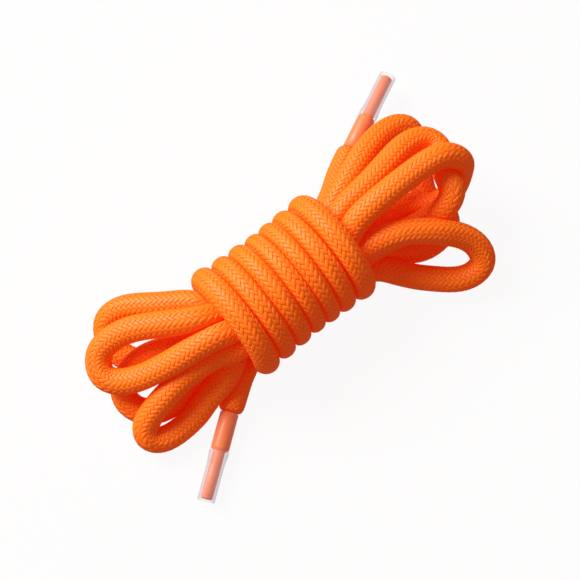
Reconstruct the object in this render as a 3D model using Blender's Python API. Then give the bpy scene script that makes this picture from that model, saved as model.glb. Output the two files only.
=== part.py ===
"""A round braided bootlace, folded into a hank and wrapped seven times about its middle.

One cord runs through the whole hank: right tail, through the wraps, a left bight, back
through the wraps, a right bight, and so on, until it leaves the last right bight, goes
round the bundle seven times and comes out below the first wrap as the left tail. A clear
aglet is rolled on each end. The bundle's axis is X, and the hank lies on its wraps at Z = 0.

All sizes below are millimetres. The hank's own frame has its zero on the bundle's axis,
halfway along the wraps, at floor level. The empty called hank carries it to the origin.
"""

import math

import bmesh
import bpy
import numpy as np
from mathutils import Vector

MM = 0.001
GAP = 0.3  # clearance between touching pieces

# the lace
LACE_DIAMETER = 5.0
SEATED_RADIUS = 2.3  # a strand's radius where it is free, a little pressed by its own bends

# the wraps
WRAP_WIDTHS = (4.4, 3.9, 3.7, 3.7, 3.0, 4.0, 4.4)  # along X, from the left wrap to the right
WRAP_OUTER_RADIUS = 11.3
WRAP_BORE_RADIUS = 6.7
GROOVE_DEPTH = 0.9
COIL_SIDES = 40
BUNDLE_AXIS_Z = WRAP_OUTER_RADIUS
BUNDLE_HALF_LENGTH = 11.4
MOUTH_X = 13.1  # where the strands leave the bundle, each side
MOUTH_RING_RADIUS = 4.67  # seven strands lie in a ring round an eighth

# the aglets
AGLET_LENGTH = 17.2
AGLET_OUTER_RADIUS = 1.75
AGLET_WALL = 0.25
TIP_WIDE_LENGTH = 7.1  # the squeezed lace fills the film as far as a step, then narrows
TIP_NARROW_RADIUS = 1.15
TIP_RECESS = 0.4
AGLET_SIDES = 24

# the way from the hank's own zero to the middle of its outline
CENTRE_SHIFT = (-3.15, -0.32, 0.0)


def mouth(side, degrees):
    """A strand's place in the bundle's mouth: side is 1 right or -1 left, and the angle
    goes from +Y towards +Z. None is the strand in the middle."""
    if degrees is None:
        return (side * MOUTH_X, 0.0, BUNDLE_AXIS_Z)
    turn = math.radians(degrees)
    return (
        side * MOUTH_X,
        MOUTH_RING_RADIUS * math.cos(turn),
        BUNDLE_AXIS_Z + MOUTH_RING_RADIUS * math.sin(turn),
    )


# The route of every free stretch, from one mouth place to the other, through points
# chosen by hand: closer together where the lace turns.
ROUTES = {
    "right_bight_1": [
        mouth(1, 6), (17.4, 6.2, 12.6), (23.4, 8.8, 12.6), (29.3, 11.1, 11.4), (34.1, 12.1, 9.7),
        (37.3, 11.8, 8.2), (39.0, 10.6, 6.8), (39.1, 8.7, 5.4), (38.3, 6.5, 3.8), (37.0, 4.0, 2.9),
        (35.1, 1.1, 2.6), (34.1, -2.6, 2.5), (34.7, -6.1, 2.5), (33.5, -8.4, 2.5),
        (30.2, -9.4, 2.5), (26.7, -9.0, 2.5), (23.7, -7.5, 2.8), (20.5, -5.4, 3.6), mouth(1, 263),
    ],
    "right_bight_2": [
        mouth(1, 57), (17.8, 3.5, 16.0), (23.2, 4.3, 16.2), (29.2, 5.5, 15.5), (34.1, 6.4, 14.3),
        (37.9, 5.8, 13.0), (39.4, 3.8, 12.4), (39.0, 1.1, 12.7), (37.5, -1.6, 13.8),
        (36.3, -4.0, 14.6), (35.3, -6.2, 14.1), (32.6, -7.3, 12.4), (29.6, -6.9, 10.4),
        (26.4, -6.1, 9.2), (20.4, -4.6, 8.6), mouth(1, 212),
    ],
    "right_bight_3": [
        mouth(1, 109), (16.0, -0.4, 17.2), (20.6, 0.1, 19.0), (26.3, 0.2, 19.6), (32.0, 0.2, 19.4),
        (36.2, -0.2, 19.0), (38.5, -1.1, 17.7), (39.9, -2.4, 15.3), (40.2, -3.0, 12.5),
        (39.7, -3.6, 9.8), (38.0, -4.4, 7.8), (35.3, -4.9, 7.0), (32.7, -4.2, 6.6),
        (30.3, -2.1, 6.4), (27.2, -0.9, 6.7), (20.0, -0.4, 8.6), mouth(1, None),
    ],
    "right_bight_4": [
        mouth(1, 160), (16.5, -4.6, 13.8), (20.0, -5.4, 14.6), (23.5, -6.9, 14.6),
        (27.1, -9.1, 13.6), (30.5, -11.5, 11.6), (33.2, -14.2, 9.2), (34.1, -16.9, 7.2),
        (33.3, -18.8, 5.6), (31.0, -19.3, 4.4), (28.1, -18.2, 3.6), (24.9, -15.5, 3.2),
        (21.8, -12.4, 3.4), (19.3, -9.3, 3.9), (17.4, -7.2, 4.3), (14.8, -6.0, 4.2),
    ],
    "left_bight_1": [
        mouth(-1, 10), (-14.8, 6.4, 12.8), (-17.1, 8.7, 12.2), (-20.5, 11.3, 11.1),
        (-23.8, 14.1, 9.7), (-26.8, 16.0, 8.0), (-29.5, 16.2, 6.2), (-31.1, 14.6, 4.6),
        (-31.6, 12.6, 3.4), (-31.2, 10.2, 2.7), (-29.9, 7.6, 2.5), (-27.2, 5.4, 2.5),
        (-23.2, 4.0, 2.9), (-17.6, 3.4, 4.8), mouth(-1, -41),
    ],
    "left_bight_2": [
        mouth(-1, 62), (-16.9, 3.2, 16.8), (-21.0, 5.6, 16.6), (-24.8, 8.2, 15.6),
        (-28.0, 10.1, 14.4), (-31.1, 11.1, 13.0), (-34.0, 11.1, 11.6), (-35.8, 9.8, 10.6),
        (-36.6, 7.7, 10.0), (-35.9, 5.6, 9.8), (-33.8, 3.7, 10.2), (-31.1, 2.3, 11.2),
        (-27.9, 1.2, 12.6), (-24.3, 0.3, 14.2), (-20.1, -0.4, 15.8), (-16.4, -1.1, 16.4),
        mouth(-1, 113),
    ],
    "left_bight_3": [
        mouth(-1, 164), (-17.7, -3.1, 12.0), (-22.1, -2.4, 11.6), (-26.1, -2.3, 10.6),
        (-30.0, -2.7, 9.2), (-33.3, -3.2, 7.4), (-35.8, -4.1, 5.6), (-36.7, -5.7, 4.2),
        (-35.7, -7.2, 3.2), (-33.4, -8.0, 2.8), (-30.4, -8.1, 2.8), (-26.9, -7.8, 3.6),
        (-23.5, -7.1, 4.9), (-18.6, -6.1, 6.8), mouth(-1, 216),
    ],
    "left_bight_4": [
        mouth(-1, None), (-17.4, 1.2, 10.4), (-21.0, 2.6, 10.1), (-24.4, 4.2, 9.2),
        (-27.4, 5.5, 8.1), (-30.3, 6.0, 6.6), (-32.8, 5.6, 5.1), (-34.8, 4.5, 4.0),
        (-35.7, 2.7, 3.1), (-35.4, 0.5, 2.6), (-33.9, -1.6, 2.5), (-31.2, -3.1, 2.5),
        (-27.4, -3.6, 2.5), (-23.6, -3.4, 2.7), (-18.0, -2.2, 4.5), mouth(-1, 268),
    ],
    "right_tail": [
        mouth(1, -45), (15.5, 6.5, 8.2), (18.8, 8.9, 7.2), (22.1, 11.2, 5.9), (25.4, 13.2, 4.9),
        (28.2, 14.6, 4.6),
    ],
    "left_tail": [
        (-14.2, -6.2, 2.5), (-16.4, -7.4, 2.5), (-18.6, -8.9, 2.5), (-20.3, -10.1, 2.5),
        (-21.9, -11.3, 2.5),
    ],
}
BIGHT_POINTS = 10  # points of each bight's tube
TAIL_POINTS = 4
# where each aglet starts on its tail, and where its open end lies
AGLETS = {
    "right": ((28.2, 14.6, 4.6), (43.8, 22.2, 4.6)),
    "left": ((-21.9, -11.3, 2.5), (-35.6, -21.65, 1.9)),
}


def clear_scene():
    for item in list(bpy.data.objects):
        bpy.data.objects.remove(item, do_unlink=True)


def make_material(name, colour, roughness, alpha=1.0):
    material = bpy.data.materials.new(name)
    material.use_nodes = True
    shader = material.node_tree.nodes["Principled BSDF"]
    shader.inputs["Base Color"].default_value = (*colour, 1.0)
    shader.inputs["Roughness"].default_value = roughness
    shader.inputs["Metallic"].default_value = 0.0
    shader.inputs["Alpha"].default_value = alpha
    return material


def place(name, data, material, hank):
    """Link an object, give it its material and hang it on the hank."""
    piece = bpy.data.objects.new(name, data)
    data.materials.append(material)
    bpy.context.collection.objects.link(piece)
    piece.parent = hank
    return piece


def smooth_curve(points, count):
    """The natural cubic spline through the points, read at `count` places that are evenly
    spaced in point number, so they stay close together where the points are."""
    points = np.array(points, float)
    last = len(points) - 1
    steps = np.sqrt(np.linalg.norm(np.diff(points, axis=0), axis=1))
    knots = np.concatenate([[0.0], np.cumsum(steps)])
    system = np.eye(last + 1)
    right_side = np.zeros_like(points)
    for i in range(1, last):
        system[i, i - 1 : i + 2] = steps[i - 1], 2 * (steps[i - 1] + steps[i]), steps[i]
        rise = (points[i + 1] - points[i]) / steps[i]
        right_side[i] = 6 * (rise - (points[i] - points[i - 1]) / steps[i - 1])
    bend = np.linalg.solve(system, right_side)
    place_on = np.linspace(0, last, count)
    span = np.minimum(place_on.astype(int), last - 1)
    after = (place_on - span)[:, None] * steps[span][:, None]
    step = steps[span][:, None]
    before = step - after
    return (
        (bend[span] * before**3 + bend[span + 1] * after**3) / (6 * step)
        + (points[span] / step - bend[span] * step / 6) * before
        + (points[span + 1] / step - bend[span + 1] * step / 6) * after
    )


def fine_samples(line, per_span=12):
    """Points spread evenly along a line of straight spans, with their distance along it."""
    at = np.linspace(0, len(line) - 1, (len(line) - 1) * per_span + 1)
    fine = np.stack([np.interp(at, np.arange(len(line)), line[:, k]) for k in range(3)], axis=1)
    run = np.concatenate([[0.0], np.cumsum(np.linalg.norm(np.diff(fine, axis=0), axis=1))])
    return fine, run


def room_along(name, lines):
    """Half of the way from each fine sample of one strand to the nearest other strand, or
    to its own other leg, less half of the clearance."""
    fine, run = fine_samples(lines[name])
    room = np.full(len(fine), SEATED_RADIUS)
    for other_name, other in lines.items():
        other_fine, other_run = fine_samples(other)
        distance = np.linalg.norm(fine[:, None] - other_fine[None], axis=2)
        if other_name == name:
            distance[np.abs(run[:, None] - other_run[None]) < 2.5 * LACE_DIAMETER] = np.inf
        room = np.minimum(room, distance.min(axis=1) / 2 - GAP / 2)
    return np.minimum(room, room_to_coil(fine))


def room_to_coil(fine):
    """The way from each sample to the rounded cord of the end wrap on its side."""
    cord = (WRAP_OUTER_RADIUS - WRAP_BORE_RADIUS) / 2
    end_wrap_x = sum(WRAP_WIDTHS) / 2 - cord
    off_axis = np.hypot(fine[:, 1], fine[:, 2] - BUNDLE_AXIS_Z)
    off_wrap = off_axis - (WRAP_BORE_RADIUS + cord)
    return np.hypot(np.abs(fine[:, 0]) - end_wrap_x, off_wrap) - cord - GAP


def add_strand(name, lines, material, hank):
    """A tube on the strand's line that gives way where another strand presses on it."""
    line = lines[name]
    per_span = 12
    room = room_along(name, lines)
    curve = bpy.data.curves.new(name, "CURVE")
    curve.dimensions = "3D"
    curve.bevel_depth = MM
    curve.bevel_resolution = 2
    curve.render_resolution_u = 0
    curve.use_fill_caps = True
    spline = curve.splines.new("POLY")
    spline.points.add(len(line) - 1)
    for i, point in enumerate(line):
        near = room[max(0, (i - 1) * per_span) : (i + 1) * per_span + 1]
        spline.points[i].co = (*(point * MM), 1.0)
        spline.points[i].radius = float(near.min())
    return place(name, curve, material, hank)


def turned_mesh(name, outline, sides):
    """Turn a closed outline of (distance from axis, height) round Z. The outline goes
    round anticlockwise as seen with the axis on its left, so the faces look outwards."""
    mesh = bpy.data.meshes.new(name)
    shape = bmesh.new()
    rings = []
    for k in range(sides):
        turn = 2 * math.pi * (k + 0.5) / sides
        ring = [
            shape.verts.new((r * math.cos(turn) * MM, r * math.sin(turn) * MM, h * MM))
            for r, h in outline
        ]
        rings.append(ring)
    for k in range(sides):
        here, there = rings[k], rings[(k + 1) % sides]
        for i in range(len(outline)):
            j = (i + 1) % len(outline)
            shape.faces.new((here[i], there[i], there[j], here[j]))
    bmesh.ops.recalc_face_normals(shape, faces=shape.faces)
    shape.to_mesh(mesh)
    shape.free()
    return mesh


def coil_outline():
    """The coil of wraps in section: a flat bore, and a flat crest with rounded shoulders
    for each wrap. Heights run from the left end of the coil to the right."""
    flat_scale = 1 / math.cos(math.pi / COIL_SIDES)  # corners outside, flats on the radius
    crest = WRAP_OUTER_RADIUS * flat_scale
    groove = (WRAP_OUTER_RADIUS - GROOVE_DEPTH) * flat_scale
    bore = WRAP_BORE_RADIUS * flat_scale
    half = sum(WRAP_WIDTHS) / 2
    cord = (WRAP_OUTER_RADIUS - WRAP_BORE_RADIUS) / 2
    outline = [(bore, -half + cord / 2), (bore + cord, -half)]
    left = -half
    for number, width in enumerate(WRAP_WIDTHS):
        if number > 0:
            outline.append((groove, left))
        outline.append((crest, left + 0.28 * width))
        outline.append((crest, left + 0.72 * width))
        left += width
    outline += [(bore + cord, half), (bore, half - cord / 2)]
    return outline


def add_coil(material, hank):
    coil = place("wrap_coil", turned_mesh("wrap_coil", coil_outline(), COIL_SIDES), material, hank)
    coil.rotation_euler = (0, math.radians(90), 0)
    coil.location = (0, 0, BUNDLE_AXIS_Z * MM)


def add_bundle(material, hank):
    """The eight strands inside the wraps, pressed into one round bundle."""
    radius = WRAP_BORE_RADIUS - GAP
    mesh = bpy.data.meshes.new("strand_bundle")
    shape = bmesh.new()
    bmesh.ops.create_cone(
        shape, cap_ends=True, segments=COIL_SIDES, radius1=radius * MM, radius2=radius * MM,
        depth=2 * BUNDLE_HALF_LENGTH * MM,
    )
    shape.to_mesh(mesh)
    shape.free()
    bundle = place("strand_bundle", mesh, material, hank)
    bundle.rotation_euler = (0, math.radians(90), 0)
    bundle.location = (0, 0, BUNDLE_AXIS_Z * MM)


def add_aglet(side, lace, film, hank):
    """A clear film sleeve, open at its far end, and the squeezed lace tip inside it. Both
    start on the tail's end and lie along the aglet's own axis."""
    start, end = (Vector(point) for point in AGLETS[side])
    axis = (end - start).normalized()
    inner = AGLET_OUTER_RADIUS - AGLET_WALL
    bottom, top = GAP, AGLET_LENGTH
    sleeve_outline = [
        (inner, bottom), (AGLET_OUTER_RADIUS, bottom), (AGLET_OUTER_RADIUS, top), (inner, top),
    ]
    tip_profile = [
        (inner - GAP, bottom), (inner - GAP, TIP_WIDE_LENGTH), (TIP_NARROW_RADIUS, TIP_WIDE_LENGTH),
        (TIP_NARROW_RADIUS, top - TIP_RECESS),
    ]
    sleeve = turned_mesh(side + "_aglet", sleeve_outline, AGLET_SIDES)
    tip = capped_turned_mesh(side + "_lace_tip", tip_profile, AGLET_SIDES)
    for name, mesh, material in ((side + "_aglet", sleeve, film), (side + "_lace_tip", tip, lace)):
        piece = place(name, mesh, material, hank)
        piece.rotation_euler = axis.to_track_quat("Z", "Y").to_euler()
        piece.location = start * MM


def capped_turned_mesh(name, profile, sides):
    """Turn an open profile round Z and close both of its ends with flat discs."""
    mesh = bpy.data.meshes.new(name)
    shape = bmesh.new()
    rings = []
    for radius, height in profile:
        ring = bmesh.ops.create_circle(shape, cap_ends=False, segments=sides, radius=radius * MM)
        for vertex in ring["verts"]:
            vertex.co.z = height * MM
        rings.append(ring["verts"])
    for lower, upper in zip(rings, rings[1:]):
        for k in range(sides):
            j = (k + 1) % sides
            shape.faces.new((lower[k], lower[j], upper[j], upper[k]))
    shape.faces.new(rings[0])
    shape.faces.new(rings[-1])
    bmesh.ops.recalc_face_normals(shape, faces=shape.faces)
    shape.to_mesh(mesh)
    shape.free()
    return mesh


def main():
    clear_scene()
    hank = bpy.data.objects.new("hank", None)
    bpy.context.collection.objects.link(hank)
    hank.location = Vector(CENTRE_SHIFT) * MM
    lace = make_material("orange_polyester_braid", (0.93, 0.19, 0.02), 0.75)
    squeezed = make_material("lace_squeezed_in_film", (0.90, 0.30, 0.12), 0.5)
    film = make_material("clear_aglet_film", (0.92, 0.88, 0.90), 0.08, alpha=0.35)
    lines = {}
    for name, points in ROUTES.items():
        count = BIGHT_POINTS if "bight" in name else TAIL_POINTS
        lines[name] = smooth_curve(points, count)
    for name in lines:
        add_strand(name, lines, lace, hank)
    add_coil(lace, hank)
    add_bundle(lace, hank)
    for side in AGLETS:
        add_aglet(side, squeezed, film, hank)


main()
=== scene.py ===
# %% [markdown]
# A round braided bootlace, folded into a hank. One cord of 5 mm runs through the whole
# of it: four bights on each side, seven wraps round their middle, and two tails that end
# in clear aglets. The lace is made the way a braiding machine makes it, as 32 yarns that
# go round a core, two over and two under. First the braid is worked out on a straight
# lace, and then that straight lace is bent along the route through the hank.

import math

import bpy
import numpy as np
from mathutils import Matrix


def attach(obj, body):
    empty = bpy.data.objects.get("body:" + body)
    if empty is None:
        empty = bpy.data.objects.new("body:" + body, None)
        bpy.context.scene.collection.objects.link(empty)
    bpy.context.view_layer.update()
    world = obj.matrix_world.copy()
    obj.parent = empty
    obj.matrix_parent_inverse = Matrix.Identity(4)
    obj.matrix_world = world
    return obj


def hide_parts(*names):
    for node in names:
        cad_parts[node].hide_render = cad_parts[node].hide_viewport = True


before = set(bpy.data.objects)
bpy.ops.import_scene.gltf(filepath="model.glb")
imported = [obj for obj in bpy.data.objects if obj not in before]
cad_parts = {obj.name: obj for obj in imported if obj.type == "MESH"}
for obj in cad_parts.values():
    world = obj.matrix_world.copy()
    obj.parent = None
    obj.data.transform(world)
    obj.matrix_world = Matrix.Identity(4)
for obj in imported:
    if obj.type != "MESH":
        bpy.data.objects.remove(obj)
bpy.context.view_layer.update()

# %% [markdown]
# Lengths below are in millimetres until a mesh is made, because a lace's sizes are small.
# The hank has a zero of its own, on the bundle's axis and at the floor. CENTRE_SHIFT
# carries it to the frame, where the origin is under the middle of the outline.

# %% Sizes
MM = 0.001
CENTRE_SHIFT = np.array([-3.15, -0.32, 0.0])
LACE_DIAMETER = 5.0
LACE_RADIUS = LACE_DIAMETER / 2

WRAP_WIDTHS = (4.4, 3.9, 3.7, 3.7, 3.0, 4.0, 4.4)  # from the left wrap to the right
# From the bundle's axis to the middle of the wrapped lace: the coil has a slight waist.
WRAP_LINE_RADII = (9.2, 8.7, 8.5, 8.3, 8.4, 8.6, 9.1)
BUNDLE_AXIS_Z = 11.3
MOUTH_X = 13.1  # where the strands leave the wraps, each side
MOUTH_RING_RADIUS = 4.67  # seven strands lie in a ring round an eighth

# %% [markdown]
# A free cord's route is drawn as a rope-worker lays it: a few points along each
# bight, closer together where it turns. A spline through them does the rest. The
# strands meet the wraps at places on a ring, given as an angle from +Y towards +Z.

# %% The route, point by point


def mouth(side, degrees):
    """A strand's place in the bundle's mouth, on the ring: side is 1 right or -1 left,
    and None is the strand in the middle."""
    if degrees is None:
        return (side * MOUTH_X, 0.0, BUNDLE_AXIS_Z)
    turn = math.radians(degrees)
    return (
        side * MOUTH_X,
        MOUTH_RING_RADIUS * math.cos(turn),
        BUNDLE_AXIS_Z + MOUTH_RING_RADIUS * math.sin(turn),
    )


ROUTES = {
    "right_bight_1": [
        mouth(1, 6), (17.4, 6.2, 12.6), (23.4, 8.8, 12.6), (29.3, 11.1, 11.4), (34.1, 12.1, 9.7),
        (37.3, 11.8, 8.2), (39.0, 10.6, 6.8), (39.1, 8.7, 5.4), (38.3, 6.5, 3.8), (37.0, 4.0, 2.9),
        (35.1, 1.1, 2.6), (34.1, -2.6, 2.5), (34.7, -6.1, 2.5), (33.5, -8.4, 2.5),
        (30.2, -9.4, 2.5), (26.7, -9.0, 2.5), (23.7, -7.5, 2.8), (20.5, -5.4, 3.6), mouth(1, 263),
    ],
    "right_bight_2": [
        mouth(1, 57), (17.8, 3.5, 16.0), (23.2, 4.3, 16.2), (29.2, 5.5, 15.5), (34.1, 6.4, 14.3),
        (37.9, 5.8, 13.0), (39.4, 3.8, 12.4), (39.0, 1.1, 12.7), (37.5, -1.6, 13.8),
        (36.3, -4.0, 14.6), (35.3, -6.2, 14.1), (32.6, -7.3, 12.4), (29.6, -6.9, 10.4),
        (26.4, -6.1, 9.2), (20.4, -4.6, 8.6), mouth(1, 212),
    ],
    "right_bight_3": [
        mouth(1, 109), (16.0, -0.4, 17.2), (20.6, 0.1, 19.0), (26.3, 0.2, 19.6), (32.0, 0.2, 19.4),
        (36.2, -0.2, 19.0), (38.5, -1.1, 17.7), (39.9, -2.4, 15.3), (40.2, -3.0, 12.5),
        (39.7, -3.6, 9.8), (38.0, -4.4, 7.8), (35.3, -4.9, 7.0), (32.7, -4.2, 6.6),
        (30.3, -2.1, 6.4), (27.2, -0.9, 6.7), (20.0, -0.4, 8.6), mouth(1, None),
    ],
    "right_bight_4": [
        mouth(1, 160), (16.5, -4.6, 13.8), (20.0, -5.4, 14.6), (23.5, -6.9, 14.6),
        (27.1, -9.1, 13.6), (30.5, -11.5, 11.6), (33.2, -14.2, 9.2), (34.1, -16.9, 7.2),
        (33.3, -18.8, 5.6), (31.0, -19.3, 4.4), (28.1, -18.2, 3.6), (24.9, -15.5, 3.2),
        (21.8, -12.4, 3.4), (19.3, -9.3, 3.9), (17.4, -7.2, 4.3), (14.8, -6.0, 4.2),
    ],
    "left_bight_1": [
        mouth(-1, 10), (-14.8, 6.4, 12.8), (-17.1, 8.7, 12.2), (-20.5, 11.3, 11.1),
        (-23.8, 14.1, 9.7), (-26.8, 16.0, 8.0), (-29.5, 16.2, 6.2), (-31.1, 14.6, 4.6),
        (-31.6, 12.6, 3.4), (-31.2, 10.2, 2.7), (-29.9, 7.6, 2.5), (-27.2, 5.4, 2.5),
        (-23.2, 4.0, 2.9), (-17.6, 3.4, 4.8), mouth(-1, -41),
    ],
    "left_bight_2": [
        mouth(-1, 62), (-16.9, 3.2, 16.8), (-21.0, 5.6, 16.6), (-24.8, 8.2, 15.6),
        (-28.0, 10.1, 14.4), (-31.1, 11.1, 13.0), (-34.0, 11.1, 11.6), (-35.8, 9.8, 10.6),
        (-36.6, 7.7, 10.0), (-35.9, 5.6, 9.8), (-33.8, 3.7, 10.2), (-31.1, 2.3, 11.2),
        (-27.9, 1.2, 12.6), (-24.3, 0.3, 14.2), (-20.1, -0.4, 15.8), (-16.4, -1.1, 16.4),
        mouth(-1, 113),
    ],
    "left_bight_3": [
        mouth(-1, 164), (-17.7, -3.1, 12.0), (-22.1, -2.4, 11.6), (-26.1, -2.3, 10.6),
        (-30.0, -2.7, 9.2), (-33.3, -3.2, 7.4), (-35.8, -4.1, 5.6), (-36.7, -5.7, 4.2),
        (-35.7, -7.2, 3.2), (-33.4, -8.0, 2.8), (-30.4, -8.1, 2.8), (-26.9, -7.8, 3.6),
        (-23.5, -7.1, 4.9), (-18.6, -6.1, 6.8), mouth(-1, 216),
    ],
    "left_bight_4": [
        mouth(-1, None), (-17.4, 1.2, 10.4), (-21.0, 2.6, 10.1), (-24.4, 4.2, 9.2),
        (-27.4, 5.5, 8.1), (-30.3, 6.0, 6.6), (-32.8, 5.6, 5.1), (-34.8, 4.5, 4.0),
        (-35.7, 2.7, 3.1), (-35.4, 0.5, 2.6), (-33.9, -1.6, 2.5), (-31.2, -3.1, 2.5),
        (-27.4, -3.6, 2.5), (-23.6, -3.4, 2.7), (-18.0, -2.2, 4.5), mouth(-1, 268),
    ],
    "right_tail": [
        mouth(1, -45), (15.5, 6.5, 8.2), (18.8, 8.9, 7.2), (22.1, 11.2, 5.9), (25.4, 13.2, 4.9),
        (28.2, 14.6, 4.6),
    ],
    "left_tail": [
        (-14.2, -6.2, 2.5), (-16.4, -7.4, 2.5), (-18.6, -8.9, 2.5), (-20.3, -10.1, 2.5),
        (-21.9, -11.3, 2.5),
    ],
}
INTO_WRAPS = [(12.6, -6.4, 4.7), (11.6, -7.9, 7.0)]
OUT_OF_WRAPS = [
    (-11.2, 6.9, 5.5), (-11.2, 4.0, 3.3), (-11.3, 0.5, 2.3), (-11.7, -3.0, 2.3), (-12.9, -5.3, 2.4),
]
# Where each aglet starts on its tail, and where its open end lies.
AGLETS = {
    "right": ((28.2, 14.6, 4.6), (43.8, 22.2, 4.6)),
    "left": ((-21.9, -11.3, 2.5), (-35.6, -21.65, 1.9)),
}
print("points laid by hand:", sum(len(points) for points in ROUTES.values()))

# %% [markdown]
# The wraps are a coil, so they follow a rule and not a list. The lace climbs over the top
# of the bundle square to its axis, and moves on to the next wrap under it, out of sight.

# %% The wraps
TURNS = 6.5
POINTS_A_TURN = 16


def smoothstep(t):
    """0 up to t = 0, 1 from t = 1, and 3t² - 2t³ between them."""
    t = np.clip(t, 0.0, 1.0)
    return t * t * (3 - 2 * t)


def wrap_points():
    """Points along the coil. With n full turns done and a part t of the next, the lace is
    at 180° less 360° times (n + t), measured from +Y, on a circle round the bundle's axis.
    Its x and its radius stay those of wrap n for the upper half turn, and go over to
    those of wrap n + 1 by smoothstep in the lower half."""
    edges = np.concatenate([[0.0], np.cumsum(WRAP_WIDTHS)]) - sum(WRAP_WIDTHS) / 2
    middles = ((edges[:-1] + edges[1:]) / 2)[::-1]
    turns = np.arange(0, TURNS + 1e-9, 1 / POINTS_A_TURN)
    whole = np.minimum(turns.astype(int), len(middles) - 1)
    following = np.minimum(whole + 1, len(middles) - 1)
    moved = smoothstep(2 * (turns - whole) - 1)
    x = middles[whole] + (middles[following] - middles[whole]) * moved
    radii = np.array(WRAP_LINE_RADII)[::-1]
    radius = radii[whole] + (radii[following] - radii[whole]) * moved
    angle = math.pi - 2 * math.pi * turns
    y = radius * np.cos(angle)
    z = BUNDLE_AXIS_Z + radius * np.sin(angle)
    return [tuple(point) for point in np.stack([x, y, z], axis=1)]


print("wraps:", len(WRAP_WIDTHS), "over", round(sum(WRAP_WIDTHS), 1), "mm")

# %% [markdown]
# Now the stretches are joined up into one line, in the order in which the lace runs, from
# the right aglet to the left one. Between two bights it goes straight through the wraps.

# %% One line from end to end
ORDER = [
    ("right_tail", "backward"), ("left_bight_1", "backward"), ("right_bight_1", "forward"),
    ("left_bight_4", "backward"), ("right_bight_3", "backward"), ("left_bight_2", "backward"),
    ("right_bight_2", "forward"), ("left_bight_3", "backward"), ("right_bight_4", "forward"),
]


def whole_route():
    """The points of the whole lace. Each stretch is joined to the next by points at a
    third and two thirds of the way, which keep the lace straight inside the wraps."""
    points = []
    for name, way in ORDER:
        stretch = [np.array(p) for p in ROUTES[name]]
        stretch = stretch[::-1] if way == "backward" else stretch
        if points:
            points += [points[-1] + (stretch[0] - points[-1]) * part for part in (1 / 3, 2 / 3)]
        points += stretch
    points += [np.array(p) for p in INTO_WRAPS + wrap_points() + OUT_OF_WRAPS]
    points += [np.array(p) for p in ROUTES["left_tail"]]
    return np.array(points)


def spline_through(points, per_span):
    """The natural cubic spline through the points. Its knots are the square roots of the
    spans apart, which keeps it from swinging out where the spans are uneven."""
    last = len(points) - 1
    steps = np.sqrt(np.linalg.norm(np.diff(points, axis=0), axis=1))
    system = np.eye(last + 1)
    right_side = np.zeros_like(points)
    rise = np.diff(points, axis=0) / steps[:, None]
    inner = np.arange(1, last)
    system[inner, inner - 1] = steps[:-1]
    system[inner, inner] = 2 * (steps[:-1] + steps[1:])
    system[inner, inner + 1] = steps[1:]
    right_side[inner] = 6 * np.diff(rise, axis=0)
    bend = np.linalg.solve(system, right_side)
    place_on = np.linspace(0, last, last * per_span + 1)
    span = np.minimum(place_on.astype(int), last - 1)
    step = steps[span][:, None]
    after = (place_on - span)[:, None] * step
    before = step - after
    return (
        (bend[span] * before**3 + bend[span + 1] * after**3) / (6 * step)
        + (points[span] / step - bend[span] * step / 6) * before
        + (points[span + 1] / step - bend[span + 1] * step / 6) * after
    )


RING_STEP = 0.4  # between the rings of the line
SPLINE_STEPS = 40  # in each span, before the rings are spaced out evenly


def evenly_spaced(line, step):
    """The line again, with points one step apart along it."""
    run = np.concatenate([[0.0], np.cumsum(np.linalg.norm(np.diff(line, axis=0), axis=1))])
    count = int(round(run[-1] / step)) + 1
    at = np.linspace(0, run[-1], count)
    return np.stack([np.interp(at, run, line[:, k]) for k in range(3)], axis=1), run[-1]


LINE, LACE_LENGTH = evenly_spaced(spline_through(whole_route(), SPLINE_STEPS), RING_STEP)
LINE_STEP = LACE_LENGTH / (len(LINE) - 1)
print(f"lace: {LACE_LENGTH:.0f} mm from aglet to aglet, {len(LINE)} rings")

# %% [markdown]
# Every ring of the lace needs to know which way its sides face. A frame that never spins
# about the line (a rotation-minimising frame) lays the braid along the lace as a real
# one lies, without the twist that other frames put in where a curve straightens out.

# %% Turning frames


def steady_frames(line):
    """Tangent, first and second side of every ring. Each side is the last one, mirrored
    twice (the double reflection method), so that it turns with the line and never about it."""
    tangents = np.gradient(line, axis=0)
    tangents /= np.linalg.norm(tangents, axis=1, keepdims=True)
    sides = np.empty_like(line)
    side = np.cross(tangents[0], (0.0, 0.0, 1.0))
    sides[0] = side / np.linalg.norm(side)
    steps = np.diff(line, axis=0)
    for i, step in enumerate(steps):
        reach = step @ step
        side = sides[i] - 2 / reach * (step @ sides[i]) * step
        tangent = tangents[i] - 2 / reach * (step @ tangents[i]) * step
        turn = tangents[i + 1] - tangent
        turned = side - 2 / max(turn @ turn, 1e-12) * (turn @ side) * turn
        sides[i + 1] = turned / np.linalg.norm(turned)
    return tangents, sides, np.cross(tangents, sides)


TANGENT, SIDE_A, SIDE_B = steady_frames(LINE)
print("frames:", len(TANGENT))

# %% [markdown]
# A lace is soft: where two strands touch they share the space, and both go flat. For every
# ring and every direction round it, the room is the distance to the plane halfway to each
# neighbour, as in a Voronoi cell. The floor takes room too, and so does a sharp bend, on
# its inner side. The lace fills what room it has.

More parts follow.
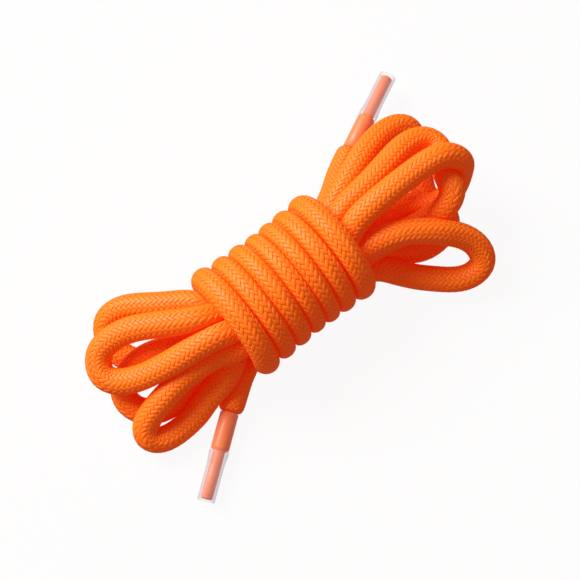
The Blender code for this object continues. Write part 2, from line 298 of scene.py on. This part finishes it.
# %% Room round the lace
DIRECTIONS = 48
RINGS_A_BLOCK = 512  # compared at once with all the others, to save memory
REACH = 6.6  # neighbours further off than this leave the lace round
FREE_ROOM = 9.0  # where nothing is near
OWN_STRETCH = 2.0 * LACE_DIAMETER  # nearer than this along the lace isn't a neighbour
SKIN = 0.03  # air left between touching strands
BEND_SHARE = 0.9  # how much of a bend's radius its inner side may fill
ANGLES = np.arange(DIRECTIONS) * 2 * math.pi / DIRECTIONS
OUTWARD = (
    np.cos(ANGLES)[None, :, None] * SIDE_A[:, None] + np.sin(ANGLES)[None, :, None] * SIDE_B[:, None]
)


def neighbour_pairs():
    """Ring numbers (i, j) of all pairs within reach that aren't on the same stretch."""
    apart = int(OWN_STRETCH / LINE_STEP)
    firsts, seconds = [], []
    for start in range(0, len(LINE), RINGS_A_BLOCK):
        block = np.arange(start, min(start + RINGS_A_BLOCK, len(LINE)))
        near = np.linalg.norm(LINE[block][:, None] - LINE[None], axis=2) < REACH
        near &= np.abs(block[:, None] - np.arange(len(LINE))[None]) > apart
        i, j = np.nonzero(near)
        firsts.append(block[i])
        seconds.append(j)
    return np.concatenate(firsts), np.concatenate(seconds)


def room_to_neighbours():
    """Half the squared distance to the neighbour, over how far the direction leads to it."""
    room = np.full((len(LINE), DIRECTIONS), FREE_ROOM)
    i, j = neighbour_pairs()
    way = LINE[j] - LINE[i]
    half_square = (way**2).sum(axis=1) / 2
    for k in range(DIRECTIONS):
        leads = (OUTWARD[i, k] * way).sum(axis=1)
        found = np.where(leads > 1e-6, half_square / np.maximum(leads, 1e-6), FREE_ROOM)
        np.minimum.at(room[:, k], i, found)
    return room - SKIN


def room_to_floor():
    """The height of the line, over how steeply the direction leads down."""
    down = np.maximum(-OUTWARD[:, :, 2], 1e-6)
    return np.minimum(LINE[:, 2, None] / down, FREE_ROOM) - SKIN / 2


def room_in_bends():
    """A share of the bend's radius, over how far the direction leads to its middle."""
    curving = np.gradient(TANGENT, axis=0) / LINE_STEP
    inward = np.maximum((OUTWARD * curving[:, None]).sum(axis=2), 1e-6)
    return np.minimum(BEND_SHARE / inward, FREE_ROOM)


ROOM = np.minimum(np.minimum(room_to_neighbours(), room_to_floor()), room_in_bends())
print(f"room: {ROOM.min():.2f} mm at the tightest")

# %% How far the lace swells into its room
SHARPNESS = 9.0  # how square the corners of a flattened lace are
MOST_SWELL = 1.10
SWELL_POWER = 0.35  # 0.5 would keep the whole of a pressed ring's area
BLUR_ALONG = 2.0  # in rings
BLUR_ROUND = 1.2  # in directions
SHOULDER = 1.8  # the lace narrows to its aglet over this length
SHOULDER_SHARE = 0.68  # of its radius, left where the aglet begins


def swelled(full):
    """A soft minimum of the full radius and the room, which rounds the corner between."""
    return full / (1 + (full / ROOM) ** SHARPNESS) ** (1 / SHARPNESS)


def blurred(values, width, axis):
    """Values averaged with a bell curve along one axis: round the ring it wraps."""
    reach = int(3 * width) + 1
    weights = np.exp(-0.5 * (np.arange(-reach, reach + 1) / width) ** 2)
    weights /= weights.sum()
    pad = [(0, 0), (0, 0)]
    pad[axis] = (reach, reach)
    padded = np.pad(values, pad, mode="wrap" if axis == 1 else "edge")
    pieces = [
        w * np.take(padded, np.arange(k, k + values.shape[axis]), axis=axis)
        for k, w in enumerate(weights)
    ]
    return np.sum(pieces, axis=0)


def lace_radii():
    """The radius of the lace at every ring and direction. A pressed ring swells where it
    is free, so that it keeps most of its area."""
    pressed = swelled(LACE_RADIUS)
    kept = (pressed**2).mean(axis=1, keepdims=True) / LACE_RADIUS**2
    swell = np.clip(kept**-SWELL_POWER, 1.0, MOST_SWELL)
    radii = swelled(LACE_RADIUS * swell)
    radii = blurred(blurred(radii, BLUR_ALONG, axis=0), BLUR_ROUND, axis=1)
    along = np.arange(len(LINE)) * LINE_STEP
    to_end = np.minimum(along, LACE_LENGTH - along)
    shoulder = SHOULDER_SHARE + (1 - SHOULDER_SHARE) * np.sqrt(
        1 - (1 - np.clip(to_end / SHOULDER, 0, 1)) ** 2
    )
    return radii * shoulder[:, None]


RADII = lace_radii()
print(f"radius: {RADII.min():.2f} to {RADII.max():.2f} mm")

# %% [markdown]
# The next function is the heart of the script. It takes a point of the straight lace, as a
# length along it, an angle round it and a distance from its middle, and puts it where it
# is on the bent one.

# %% From the straight lace to the bent one


def on_lace(along, angle, height):
    """The point at LINE plus the outward direction times height, where height is scaled
    by the pressed radius over the free one. All are arrays of one shape."""
    at = np.clip(along / LINE_STEP, 0, len(LINE) - 1.001)
    ring = at.astype(int)
    part = at - ring
    turn = (angle / (2 * math.pi) * DIRECTIONS) % DIRECTIONS
    first = turn.astype(int) % DIRECTIONS
    second = (first + 1) % DIRECTIONS
    share = turn - np.floor(turn)
    here = RADII[ring, first] * (1 - share) + RADII[ring, second] * share
    there = RADII[ring + 1, first] * (1 - share) + RADII[ring + 1, second] * share
    scale = (here * (1 - part) + there * part) / LACE_RADIUS * height
    part = part[..., None]
    side_a = SIDE_A[ring] * (1 - part) + SIDE_A[ring + 1] * part
    side_b = SIDE_B[ring] * (1 - part) + SIDE_B[ring + 1] * part
    middle = LINE[ring] * (1 - part) + LINE[ring + 1] * part
    outward = np.cos(angle)[..., None] * side_a + np.sin(angle)[..., None] * side_b
    return middle + outward * scale[..., None]


# %% [markdown]
# Tubes are all that a lace needs: a grid of points, with rings one way and sides the
# other. This helper makes a mesh of one or more closed tubes, with a UV map that has the
# length along the tube in U and the way round it in V. A looped tube runs back into its
# own start, and needs no caps.

# %% A mesh of closed tubes


def tube_mesh(name, grid, along, material, looped=False):
    """grid is (tubes, rings, sides, 3) in millimetres, and along is U, (tubes, rings).
    Quad (r, s) joins rings r and r + 1 at sides s and s + 1, and flat caps close the ends."""
    tubes, rings, sides = grid.shape[:3]
    spans = rings if looped else rings - 1
    t, r, s = np.meshgrid(np.arange(tubes), np.arange(spans), np.arange(sides), indexing="ij")

    def number(ring, side):
        return (t * rings + ring % rings) * sides + side % sides

    quads = np.stack([number(r, s), number(r, s + 1), number(r + 1, s + 1), number(r + 1, s)], -1)
    next_along = along[t, (r + 1) % rings]
    u = np.stack([along[t, r], along[t, r], next_along, next_along], -1)
    v = np.stack([s, s + 1, s + 1, s], -1) / sides
    first = np.arange(0 if looped else tubes)[:, None] * rings * sides
    start_caps = first + np.arange(sides)[::-1][None]
    end_caps = first + (rings - 1) * sides + np.arange(sides)[None]
    corners = np.concatenate([quads.ravel(), start_caps.ravel(), end_caps.ravel()])
    sizes = np.concatenate([np.full(quads.size // 4, 4), np.full(2 * len(first), sides)])
    cap_uv = np.zeros((2 * len(first) * sides, 2))
    uv = np.concatenate([np.stack([u.ravel(), v.ravel()], 1), cap_uv])
    mesh = bpy.data.meshes.new(name)
    mesh.vertices.add(tubes * rings * sides)
    mesh.vertices.foreach_set("co", ((grid + CENTRE_SHIFT) * MM).astype(np.float32).ravel())
    mesh.loops.add(len(corners))
    mesh.loops.foreach_set("vertex_index", corners.astype(np.int32))
    mesh.polygons.add(len(sizes))
    mesh.polygons.foreach_set("loop_start", (np.cumsum(sizes) - sizes).astype(np.int32))
    layer = mesh.uv_layers.new(name="lace")
    layer.data.foreach_set("uv", uv.astype(np.float32).ravel())
    mesh.update(calc_edges=True)
    mesh.validate()
    mesh.shade_smooth()
    mesh.materials.append(material)
    piece = bpy.data.objects.new(name, mesh)
    bpy.context.scene.collection.objects.link(piece)
    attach(piece, "root")
    return piece


# %% [markdown]
# Materials come next, since every piece takes one. Colours are written as they look on a
# screen, in sRGB hex, and one function turns them into the linear values that Blender
# mixes light with. Another small one adds a node with its settings and links.

# %% Colours and nodes


def linear(hex_colour):
    """sRGB to linear: a twelfth part near black, and the power 2.4 above it."""
    values = [int(hex_colour[i : i + 2], 16) / 255 for i in (1, 3, 5)]
    return (*(v / 12.92 if v <= 0.04045 else ((v + 0.055) / 1.055) ** 2.4 for v in values), 1.0)


def add_node(tree, kind, settings=None, **inputs):
    """A node of that kind. An input given as a socket is linked, and any other is set;
    its name is written with _ for a space."""
    made = tree.nodes.new("ShaderNode" + kind)
    for key, value in (settings or {}).items():
        setattr(made, key, value)
    for key, value in inputs.items():
        socket = made.inputs[int(key[1:])] if key[0] == "i" and key[1:].isdigit() else (
            made.inputs[key.replace("_", " ")]
        )
        if isinstance(value, bpy.types.NodeSocket):
            tree.links.new(value, socket)
        else:
            socket.default_value = value
    return made


def new_material(name, **inputs):
    """A material with a Principled shader, whose own sockets hold the given values."""
    material = bpy.data.materials.new(name)
    material.use_nodes = True
    shader = material.node_tree.nodes["Principled BSDF"]
    for key, value in inputs.items():
        shader.inputs[key.replace("_", " ")].default_value = value
    return material, material.node_tree, shader


# %% [markdown]
# The yarn is textured polyester: some hundred fine filaments that lie side by side, dyed
# a bright orange. It is shiny for a textile, so each float has a soft highlight across
# it. Between the yarns, light meets orange again and again and turns to a deep red. A weak
# red glow, painted into the yarn, adds painted light to its shaded sides and the gaps.

# %% Dyed polyester yarn


def dyed_polyester_yarn():
    """Fine noise, drawn out along the yarn, makes the filaments and varies their colour."""
    material, tree, shader = new_material(
        "dyed_polyester_yarn", Roughness=0.5, Sheen_Weight=0.06, Sheen_Roughness=0.4,
        Sheen_Tint=linear("#FFB070"), Specular_IOR_Level=0.42, IOR=1.5,
        # Emission: a painted red glow, painted light that lifts the shade on and between the yarns.
        Emission_Color=linear("#FF1400"), Emission_Strength=0.1,
    )
    place = add_node(tree, "UVMap", {"uv_map": "lace"})
    lengthwise = add_node(tree, "Mapping", Vector=place.outputs["UV"], Scale=(0.35, 16.0, 1.0))
    filaments = add_node(
        tree, "TexNoise", {"noise_dimensions": "2D"}, Vector=lengthwise.outputs[0],
        Scale=1.0, Detail=2.0,
    )
    bump = add_node(tree, "Bump", Strength=0.25, Distance=0.00006, Height=filaments.outputs[0])
    tree.links.new(bump.outputs[0], shader.inputs["Normal"])
    colour = add_node(
        tree, "Mix", {"data_type": "RGBA"}, Factor=filaments.outputs[0],
        i6=linear("#FB7A10"), i7=linear("#FD8A17"),
    )
    tree.links.new(colour.outputs[2], shader.inputs["Base Color"])
    return material


YARN = dyed_polyester_yarn()
print("material:", YARN.name)

# %% The core's material


def core_yarn():
    """The filler inside the sleeve of yarns: the same dyed polyester, seen only in the
    gaps, where it lies in shade."""
    material, tree, shader = new_material(
        "core_filler_yarn", Roughness=0.9, Base_Color=linear("#FB7810"),
        # Emission: the same painted red glow, painted light that lifts the shaded gaps.
        Emission_Color=linear("#FF1400"), Emission_Strength=0.1,
    )
    place = add_node(tree, "UVMap", {"uv_map": "lace"})
    strands = add_node(tree, "Mapping", Vector=place.outputs["UV"], Scale=(0.5, 24.0, 1.0))
    noise = add_node(tree, "TexNoise", {"noise_dimensions": "2D"}, Vector=strands.outputs[0])
    bump = add_node(tree, "Bump", Strength=0.4, Distance=0.0001, Height=noise.outputs[0])
    tree.links.new(bump.outputs[0], shader.inputs["Normal"])
    return material


CORE = core_yarn()
print("material:", CORE.name)

# %% [markdown]
# The braid. Sixteen yarns go round one way and sixteen the other. On a machine each yarn
# passes over two and under two, so where it rises depends only on the angle round the
# lace: there are sixteen columns, and a column shows the floats of one direction. A yarn
# is two plies that lie side by side, so its section has a shallow groove along the top.

# %% The braid's sizes
YARNS_EACH_WAY = 16
LEAD = 16.8  # one yarn's full turn, along the lace
YARN_HALF_WIDTH = 0.38
YARN_HALF_THICKNESS = 0.12
RISE = 0.07  # how far a yarn goes up and down as it passes the others
YARN_LINE_RADIUS = LACE_RADIUS - RISE - YARN_HALF_THICKNESS
COLUMN_PAIRS = YARNS_EACH_WAY // 2
COLUMN_PHASE = math.pi / 4  # puts each change of height midway between two crossings
FLATNESS = 2.2  # how square-topped the rise and fall is
YARN_RING_STEP = 0.27  # along the lace: eight rings to each rise and fall
# Half of a yarn's outline in shares of its half width and half thickness, from its right
# edge over the two plies to its left edge and back below.
SECTION_ACROSS = np.array([1.0, 0.55, 0.0, -0.55, -1.0, -0.5, 0.5])
SECTION_UP = np.array([0.1, 0.9, 0.75, 0.9, 0.1, -0.9, -0.9])
YARN_SLANT = math.atan2(2 * math.pi * YARN_LINE_RADIUS, LEAD)
print(f"yarns lie at {math.degrees(YARN_SLANT):.0f}° to the lace")

# %% Working out the yarns


def yarn_tubes(numbers):
    """Grid of the given yarns. Yarn n of 32 starts at n sixteenths of a turn, and the odd
    ones go round backwards. Its middle line is at YARN_LINE_RADIUS plus RISE times a
    flattened cosine of eight times the angle. Its section is laid square to the yarn's
    own slant."""
    rings = int(LACE_LENGTH / YARN_RING_STEP) + 1
    along = np.linspace(0, LACE_LENGTH, rings)[None, :, None]
    numbers = np.array(numbers)[:, None, None]
    way = np.where(numbers % 2 == 0, 1.0, -1.0)
    start = (numbers // 2) * 2 * math.pi / YARNS_EACH_WAY
    angle = start + way * 2 * math.pi * along / LEAD
    height = way * np.cos(COLUMN_PAIRS * angle - COLUMN_PHASE)
    wave = np.tanh(FLATNESS * height) / math.tanh(FLATNESS)
    across = YARN_HALF_WIDTH * SECTION_ACROSS[None, None]
    up = YARN_HALF_THICKNESS * SECTION_UP[None, None]
    grid = on_lace(
        along - across * math.sin(YARN_SLANT) * way,
        angle + across * math.cos(YARN_SLANT) / YARN_LINE_RADIUS,
        YARN_LINE_RADIUS + RISE * wave + up,
    )
    grid = grid[:, :, ::-1]
    run = np.broadcast_to(along[:, :, 0] / math.cos(YARN_SLANT), grid.shape[:2])
    return grid, run


YARNS_A_PIECE = 2
YARN_PIECES = []
for first in range(0, 2 * YARNS_EACH_WAY, YARNS_A_PIECE):
    grid, run = yarn_tubes(range(first, first + YARNS_A_PIECE))
    name = f"braid_yarns_{first // YARNS_A_PIECE + 1:02d}"
    YARN_PIECES.append(tube_mesh(name, grid, run, YARN))
print("yarn pieces:", len(YARN_PIECES), "with", 2 * len(YARN_PIECES[0].data.polygons), "triangles each")

# %% The core
CORE_RADIUS = 2.27
CORE_SIDES = 20


def core_tube():
    """A tube on every ring of the line, at a constant height in the straight lace."""
    along = (np.arange(len(LINE)) * LINE_STEP)[None, :, None]
    angle = (np.arange(CORE_SIDES) * 2 * math.pi / CORE_SIDES)[None, None]
    along, angle = np.broadcast_arrays(along, angle)
    grid = on_lace(along, angle, np.full(along.shape, CORE_RADIUS))
    return tube_mesh("lace_core", grid, along[:, :, 0], CORE)


LACE_CORE = core_tube()
print("core triangles:", 2 * len(LACE_CORE.data.polygons))

# %% [markdown]
# The aglet is a strip of clear film, rolled and shrunk on to the lace's end. It is open
# at its far end, where the squeezed lace stops a little short of it.

# %% The aglet's sizes
AGLET_LENGTH = 17.2
AGLET_RADIUS = 1.7  # at the far end
AGLET_FLARE = 0.22  # wider by this over the wide part of the tip
FILM_THICKNESS = 0.12
TIP_WIDE_LENGTH = 7.8
TIP_NARROW_RADIUS = 1.15
TIP_RECESS = 0.4
AGLET_SIDES = 48
CORD_GAP = 0.1  # between the braid's end and the aglet
BOND_FADE = 0.5  # the film comes clear of the yarns over this length
FLARE_FADE = 3.0
FILM_SPANS = 24
RIM_POINTS = 7
print("aglet:", AGLET_LENGTH, "mm long")

# %% Clear film and squeezed lace


def clear_film():
    """The film lets light straight through. Seen on its edge it is thicker, so it veils
    more there: alpha goes from 0.1 where it faces the eye to 0.55 where it turns away.
    Over the wide part of the tip it is bonded to the yarns and hardly shows: times 0.15.
    A faint glow is painted into it too: painted light that keeps its shaded side pale."""
    material, tree, shader = new_material(
        "clear_acetate_film", Base_Color=linear("#7A7277"), Roughness=0.15, IOR=1.46,
        # Emission: a painted glow, painted light on the film's shaded side.
        Emission_Color=linear("#E4D8E0"), Emission_Strength=0.6,
    )
    facing = add_node(tree, "LayerWeight", Blend=0.35)
    veil = add_node(
        tree, "MapRange", Value=facing.outputs["Facing"], From_Min=0.08, From_Max=0.6,
        To_Min=0.1, To_Max=0.55,
    )
    place = add_node(tree, "UVMap", {"uv_map": "lace"})
    along = add_node(tree, "SeparateXYZ", Vector=place.outputs["UV"])
    bonded = add_node(
        tree, "MapRange", Value=along.outputs["X"], From_Min=TIP_WIDE_LENGTH - BOND_FADE,
        From_Max=TIP_WIDE_LENGTH, To_Min=0.15, To_Max=1.0,
    )
    alpha = add_node(
        tree, "Math", {"operation": "MULTIPLY"}, i0=veil.outputs[0], i1=bonded.outputs[0],
    )
    tree.links.new(alpha.outputs[0], shader.inputs["Alpha"])
    return material


def squeezed_lace():
    """The same polyester, melted smooth by the heat that shrinks the film on to it."""
    return new_material(
        "squeezed_polyester", Base_Color=linear("#EE8248"), Roughness=0.4,
        # Emission: a faint painted orange glow, painted light that keeps the shaded side from going
        # grey.
        Specular_IOR_Level=0.5, Emission_Color=linear("#FF6A20"), Emission_Strength=0.08,
    )[0]


FILM = clear_film()
SQUEEZED = squeezed_lace()
print("materials:", FILM.name, SQUEEZED.name)

# %% [markdown]
# Both pieces of an aglet are turned shapes, so each needs only a profile. The lace fills
# the film as far as a step, and past the step it is a thin stem with air round it.

# %% The aglets


def turned(name, start, end, profile, material, slot, ring_shaped=False):
    """A solid of revolution about the line from start to end. The profile holds (distance
    along, radius). A ring-shaped one has a closed profile and a hole through it."""
    start, end = np.array(start), np.array(end)
    axis = (end - start) / np.linalg.norm(end - start)
    side_a = np.cross(axis, (0.0, 0.0, 1.0))
    side_a /= np.linalg.norm(side_a)
    side_b = np.cross(axis, side_a)
    angle = np.arange(AGLET_SIDES) * 2 * math.pi / AGLET_SIDES
    rim = np.cos(angle)[:, None] * side_a + np.sin(angle)[:, None] * side_b
    at, radius = np.array(profile).T
    grid = start + at[:, None, None] * axis + radius[:, None, None] * rim[None]
    return tube_mesh(name, grid[None], at[None], material, looped=ring_shaped)


def film_profile(inner, outer, bottom, top):
    """Up the outside, over a rounded rim, down the inside and round the other rim."""
    middle, half = (inner + outer) / 2, (outer - inner) / 2
    bend = np.linspace(-math.pi / 2, math.pi / 2, RIM_POINTS)
    run = (top - bottom) / FILM_SPANS
    upper = [(top - half + half * math.cos(a), middle - half * math.sin(a)) for a in bend]
    lower = [(bottom + half - half * math.cos(a), middle + half * math.sin(a)) for a in bend]
    outside = [(bottom + run * k, outer) for k in range(1, FILM_SPANS)]
    inside = [(bottom + run * k, inner) for k in range(FILM_SPANS - 1, 0, -1)]
    return outside + upper + inside + lower


def flared(profile):
    """The profile widened up to the step, and less and less past it:
    radius + flare * (1 - smoothstep)."""
    at, radius = np.array(profile).T
    past = smoothstep((at - TIP_WIDE_LENGTH) / FLARE_FADE)
    return np.column_stack([at, radius + AGLET_FLARE * (1 - past)])


def tip_profile(wide):
    """The squeezed lace: a chamfer, the wide part, the step, the stem and its rounded end."""
    narrow = TIP_NARROW_RADIUS
    stem_end = AGLET_LENGTH - TIP_RECESS
    step = TIP_WIDE_LENGTH + np.array([-0.9, -0.7, -0.4, -0.2, 0.0])
    return [
        (CORD_GAP, wide - 0.3), (0.3, wide), (3.0, wide),
        *zip(step, (wide, wide - 0.03, wide - 0.2, narrow + 0.03, narrow)),
        (12.0, narrow), (stem_end - 0.2, narrow - 0.03), (stem_end, narrow - 0.25),
    ]


def aglet(side):
    """The film sleeve and the squeezed tip inside it, at one end of the lace."""
    start, end = AGLETS[side]
    inner = AGLET_RADIUS - FILM_THICKNESS
    sleeve_profile = flared(film_profile(inner, AGLET_RADIUS, CORD_GAP, AGLET_LENGTH))
    sleeve = turned(side + "_aglet_film", start, end, sleeve_profile, FILM, "aglet_film", True)
    profile = tip_profile(inner + AGLET_FLARE - 0.05)
    tip = turned(side + "_squeezed_tip", start, end, profile, SQUEEZED, "squeezed_lace")
    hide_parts(side + "_aglet")
    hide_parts(side + "_lace_tip")
    return [sleeve, tip]


ON_THE_LACE = YARN_PIECES + aglet("right") + aglet("left")
print("pieces on the lace:", len(ON_THE_LACE))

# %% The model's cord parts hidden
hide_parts("wrap_coil", "strand_bundle", "right_tail", "left_tail")
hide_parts(*(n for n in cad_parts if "_bight_" in n))

# %% [markdown]
# The camera looks steeply down at the hank, from in front of its left end. BACK, RIGHT
# and UP are its own directions, with BACK from the hank to the camera.

# %% Camera
AZIMUTH, ELEVATION = math.radians(-38.4), math.radians(75.0)
CAMERA_DISTANCE = 300.0
LENS, SENSOR = 100.0, 36.0
AIM_RIGHT, AIM_UP = 1.16, -1.02  # from the bundle's middle to the picture's
BACK = np.array([
    math.sin(AZIMUTH) * math.cos(ELEVATION),
    -math.cos(AZIMUTH) * math.cos(ELEVATION),
    math.sin(ELEVATION),
])
RIGHT = np.array([math.cos(AZIMUTH), math.sin(AZIMUTH), 0.0])
UP = np.cross(BACK, RIGHT)
AIM = np.array([0.0, 0.0, BUNDLE_AXIS_Z]) + AIM_RIGHT * RIGHT + AIM_UP * UP + CENTRE_SHIFT
camera_data = bpy.data.cameras.new("camera")
camera_data.lens = LENS
camera_data.sensor_width = SENSOR
camera_data.clip_start = 0.01
camera = bpy.data.objects.new("camera", camera_data)
camera.matrix_world = Matrix.Translation((AIM + CAMERA_DISTANCE * BACK) * MM) @ Matrix(
    np.stack([RIGHT, UP, BACK], axis=1).tolist()
).to_4x4()
bpy.context.scene.collection.objects.link(camera)
bpy.context.scene.camera = camera
print("camera:", CAMERA_DISTANCE, "mm away")

# %% [markdown]
# The floor is a light table: it glows white and takes only a faint shadow. It is kept out
# of the light on the lace, which would be pale from below otherwise.

# %% Floor


def pale_floor():
    """A white square, 3 m each way, with its middle under the hank."""
    material = new_material(
        "white_acrylic_table", Base_Color=linear("#404040"), Roughness=0.9,
        Specular_IOR_Level=0.0, Emission_Color=linear("#FFFFFF"), Emission_Strength=0.93,
    )[0]
    mesh = bpy.data.meshes.new("floor")
    half = 1.5
    mesh.from_pydata(
        [(-half, -half, 0), (half, -half, 0), (half, half, 0), (-half, half, 0)], [], [(0, 1, 2, 3)]
    )
    mesh.materials.append(material)
    floor = bpy.data.objects.new("floor", mesh)
    floor.visible_diffuse = False
    floor.visible_glossy = False
    bpy.context.scene.collection.objects.link(floor)


pale_floor()
print("floor: a light table at z = 0")

# %% [markdown]
# One large soft light stands behind the hank and to its left, as the camera sees it. A
# dim warm fill from all round keeps the shaded sides a saturated orange.

# %% Lights
KEY_WAY = -1.0 * RIGHT + 0.9 * UP + 0.9 * BACK
KEY_DISTANCE = 0.8  # metres, as is its size
KEY_SIZE = 0.45
KEY_POWER = 9.0  # watts
FILL_STRENGTH = 0.38


def area_light(name, toward, distance, size, power):
    """A square soft light, at that distance from the hank and facing it."""
    data = bpy.data.lights.new(name, "AREA")
    data.size = size
    data.energy = power
    light = bpy.data.objects.new(name, data)
    direction = np.array(toward) / np.linalg.norm(toward)
    light.location = (AIM * MM) + direction * distance
    z = direction
    x = np.cross((0.0, 0.0, 1.0), z)
    x /= np.linalg.norm(x)
    turned_to = Matrix(np.stack([x, np.cross(z, x), z], axis=1).tolist()).to_4x4()
    light.matrix_world = Matrix.Translation(light.location) @ turned_to
    bpy.context.scene.collection.objects.link(light)


def studio_world():
    """A warm fill lights the lace, and the wall behind it is a pale grey to the eye."""
    world = bpy.data.worlds.new("studio")
    world.use_nodes = True
    tree = world.node_tree
    red, green, blue, _ = linear("#FFBCA0")
    fill = (FILL_STRENGTH * red, FILL_STRENGTH * green, FILL_STRENGTH * blue, 1.0)
    ray = add_node(tree, "LightPath")
    colour = add_node(
        tree, "Mix", {"data_type": "RGBA"}, Factor=ray.outputs["Is Camera Ray"],
        i6=fill, i7=linear("#F7F7F7"),
    )
    tree.links.new(colour.outputs[2], tree.nodes["Background"].inputs["Color"])
    return world


area_light("key_softbox", KEY_WAY, KEY_DISTANCE, KEY_SIZE, KEY_POWER)
bpy.context.scene.world = studio_world()
bpy.context.scene.view_settings.view_transform = "Standard"
print("lights: one softbox and the fill")
